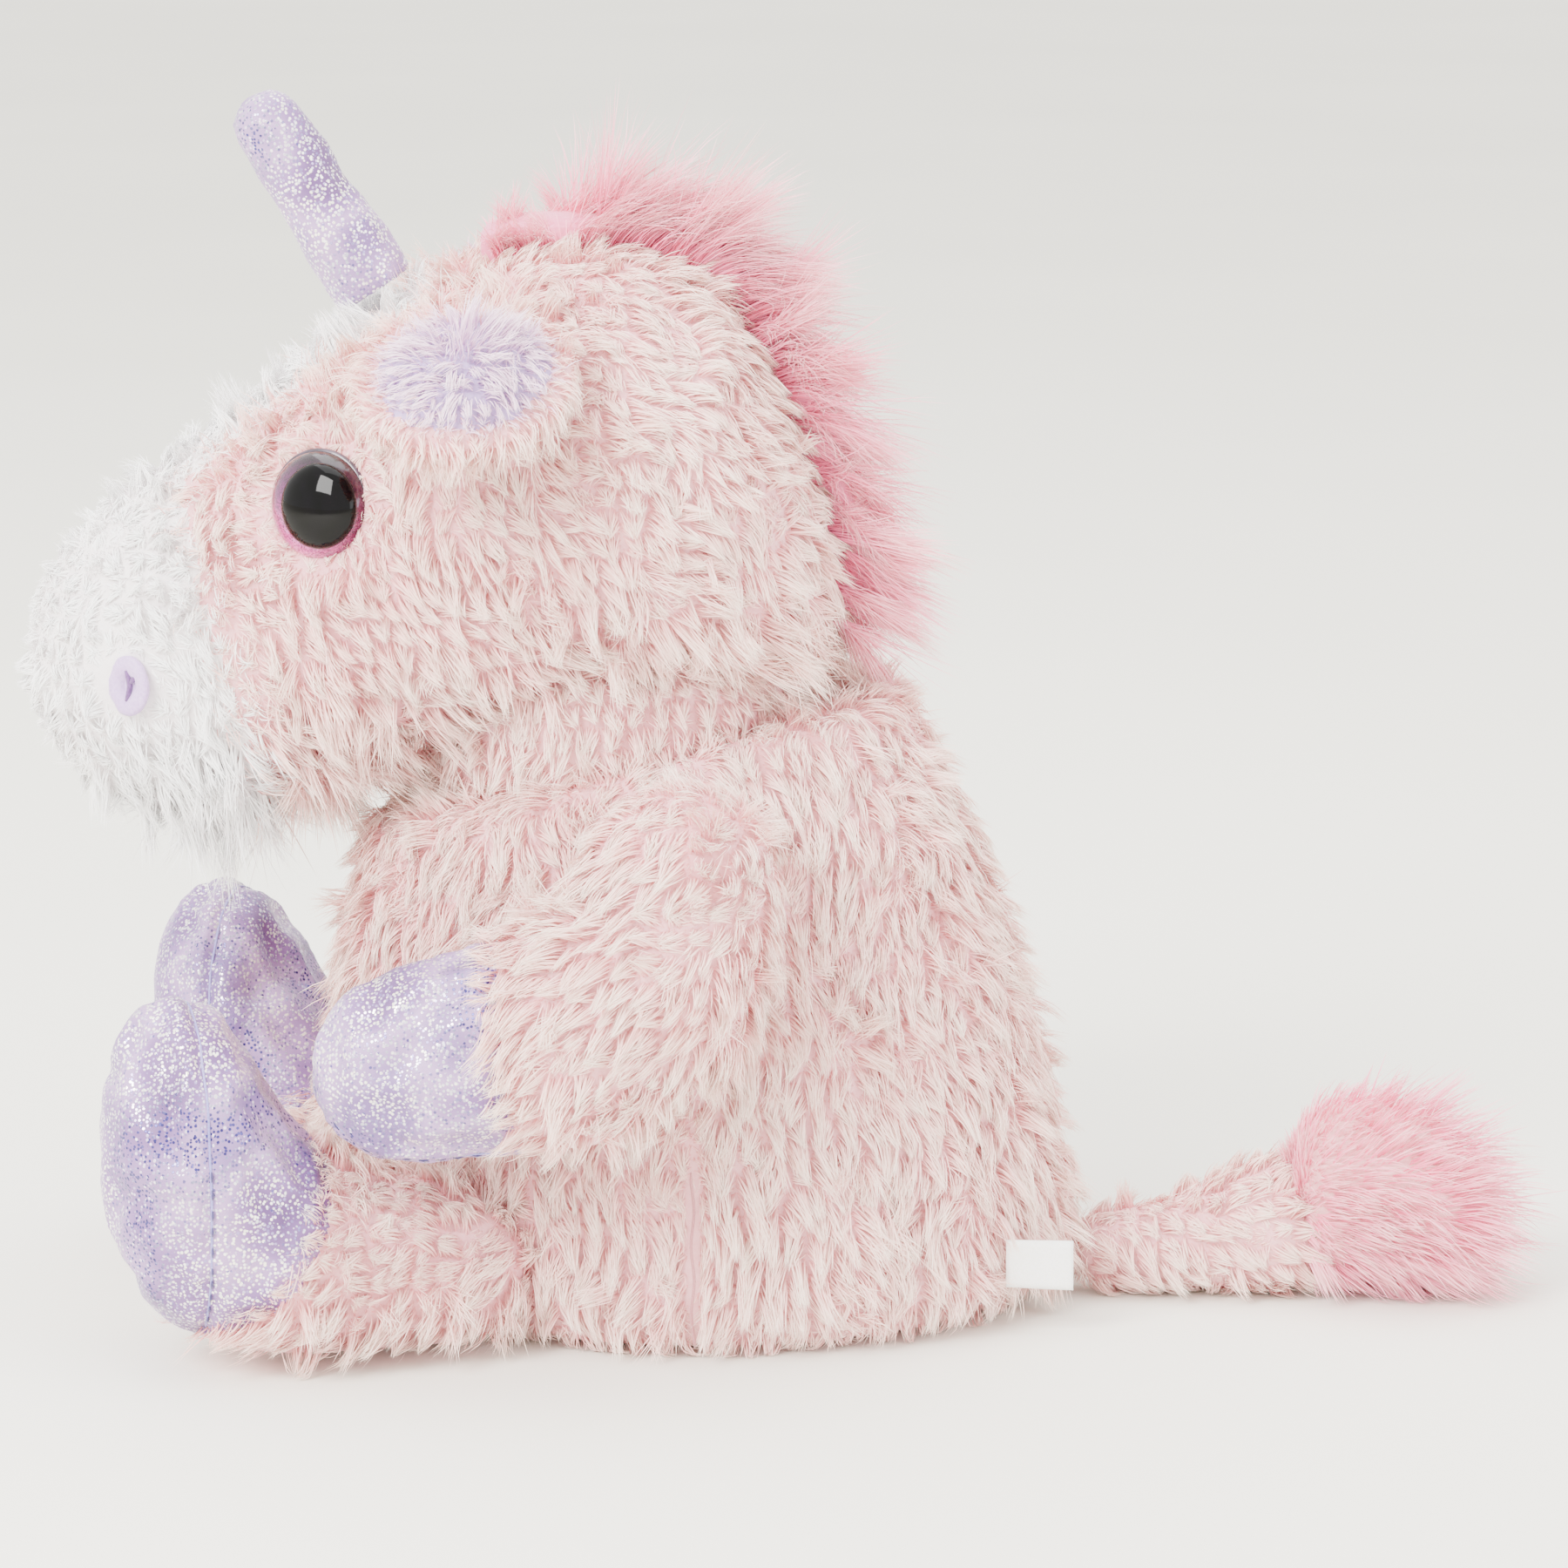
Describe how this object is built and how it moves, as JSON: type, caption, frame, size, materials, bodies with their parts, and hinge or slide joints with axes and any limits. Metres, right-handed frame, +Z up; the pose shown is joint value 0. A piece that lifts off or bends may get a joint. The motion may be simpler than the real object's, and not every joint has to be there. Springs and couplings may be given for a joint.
{
  "type": "plush unicorn",
  "caption": "Seated soft toy unicorn with long pile, a stuffed foil-cloth horn and hooves, a long-haired mane, floppy ears, plastic eyes and a tufted tail",
  "frame": {"origin": "middle of the flat seat, on the surface the toy sits on", "axes": "the toy faces -Y, its left side is +X, +Z is up"},
  "size_m": [0.1902, 0.3375, 0.2786],
  "materials": {
    "pink_plush": "long-pile knitted plush, pale pink with creamy tips",
    "white_plush": "long-pile knitted plush, white",
    "lilac_plush": "short-pile knitted plush, lilac",
    "mane_pile": "long straight faux-fur pile, rose pink with pale tips",
    "foil_cloth": "smooth knit printed with fine holographic foil dots, lilac",
    "polyester_stuffing": "loose polyester fibre",
    "bag_cotton": "plain woven cotton bag of filling grain",
    "nostril_thread": "short lilac felt, stitched",
    "iris_plastic": "clear dome over magenta and lilac glitter",
    "pupil_plastic": "glossy black",
    "washer_plastic": "moulded, satin",
    "label_satin": "folded white satin tape, blank"
  },
  "bodies": {
    "torso": {"body_front_panel": "pink_plush", "body_back_panel": "pink_plush", "body_base_panel": "pink_plush", "body_stuffing": "polyester_stuffing", "weight_bag": "bag_cotton", "care_label": "label_satin"},
    "neck": {"neck_wad": "polyester_stuffing"},
    "head": {"head_panel_left": "pink_plush", "head_panel_right": "pink_plush", "muzzle_panel": "white_plush", "head_stuffing": "polyester_stuffing", "mane_strip": "mane_pile", "nostril_left": "nostril_thread", "nostril_right": "nostril_thread", "eye_iris_left": "iris_plastic", "eye_iris_right": "iris_plastic", "eye_pupil_left": "pupil_plastic", "eye_pupil_right": "pupil_plastic", "eye_washer_left": "washer_plastic", "eye_washer_right": "washer_plastic"},
    "horn": {"horn_cover": "foil_cloth", "horn_stuffing": "polyester_stuffing"},
    "ear_left": {"ear_back_left": "pink_plush", "ear_lining_left": "lilac_plush"},
    "ear_right": {"ear_back_right": "pink_plush", "ear_lining_right": "lilac_plush"},
    "arm_left": {"arm_sleeve_left": "pink_plush", "arm_hoof_outer_left": "foil_cloth", "arm_hoof_inner_left": "foil_cloth", "arm_stuffing_left": "polyester_stuffing"},
    "arm_right": {"arm_sleeve_right": "pink_plush", "arm_hoof_outer_right": "foil_cloth", "arm_hoof_inner_right": "foil_cloth", "arm_stuffing_right": "polyester_stuffing"},
    "leg_left": {"leg_sleeve_left": "pink_plush", "leg_hoof_sole_left": "foil_cloth", "leg_hoof_instep_left": "foil_cloth", "leg_stuffing_left": "polyester_stuffing"},
    "leg_right": {"leg_sleeve_right": "pink_plush", "leg_hoof_sole_right": "foil_cloth", "leg_hoof_instep_right": "foil_cloth", "leg_stuffing_right": "polyester_stuffing"},
    "tail": {"tail_sleeve": "pink_plush", "tail_stuffing": "polyester_stuffing"},
    "tuft": {"tail_tuft": "mane_pile"}
  },
  "joints": [
    {"name": "neck_turn", "type": "hinge", "parent": "torso", "child": "neck", "pos_m": [0, -0.018, 0.136], "axis": [0, -0.2571, 0.9664], "range_deg": [-20, 20], "stiffness_Nm_per_rad": 2},
    {"name": "head_nod", "type": "hinge", "parent": "neck", "child": "head", "pos_m": [0, -0.018, 0.136], "axis": [1, 0, 0], "range_deg": [-10, 10], "stiffness_Nm_per_rad": 6},
    {"name": "horn_flex", "type": "hinge", "parent": "head", "child": "horn", "pos_m": [0, -0.0705, 0.23], "axis": [1, 0, 0], "range_deg": [-12, 12], "stiffness_Nm_per_rad": 0.5},
    {"name": "ear_flap_left", "type": "hinge", "parent": "head", "child": "ear_left", "pos_m": [0.049, -0.026, 0.229], "axis": [-0.5517, -0.6806, 0.4821], "range_deg": [-15, 35], "stiffness_Nm_per_rad": 0.3},
    {"name": "ear_flap_right", "type": "hinge", "parent": "head", "child": "ear_right", "pos_m": [-0.049, -0.026, 0.229], "axis": [-0.5517, 0.6806, -0.4821], "range_deg": [-15, 35], "stiffness_Nm_per_rad": 0.3},
    {"name": "arm_swing_left", "type": "hinge", "parent": "torso", "child": "arm_left", "pos_m": [0.058, -0.002, 0.111], "axis": [-1, 0, 0], "range_deg": [-8, 40], "stiffness_Nm_per_rad": 1.5},
    {"name": "arm_swing_right", "type": "hinge", "parent": "torso", "child": "arm_right", "pos_m": [-0.058, -0.002, 0.111], "axis": [-1, 0, 0], "range_deg": [-8, 40], "stiffness_Nm_per_rad": 1.5},
    {"name": "leg_lift_left", "type": "hinge", "parent": "torso", "child": "leg_left", "pos_m": [0.046, -0.054, 0.0195], "axis": [-0.9659, -0.2588, 0], "range_deg": [0, 12], "stiffness_Nm_per_rad": 1.5},
    {"name": "leg_lift_right", "type": "hinge", "parent": "torso", "child": "leg_right", "pos_m": [-0.046, -0.054, 0.0195], "axis": [-0.9659, 0.2588, 0], "range_deg": [0, 12], "stiffness_Nm_per_rad": 1.5},
    {"name": "tail_lift", "type": "hinge", "parent": "torso", "child": "tail", "pos_m": [0, 0.094, 0.01], "axis": [1, 0, 0], "range_deg": [0, 45]},
    {"name": "tuft_sway", "type": "hinge", "parent": "tail", "child": "tuft", "pos_m": [0, 0.132, 0.016], "axis": [0, 0, 1], "range_deg": [-15, 15], "stiffness_Nm_per_rad": 0.3}
  ]
}
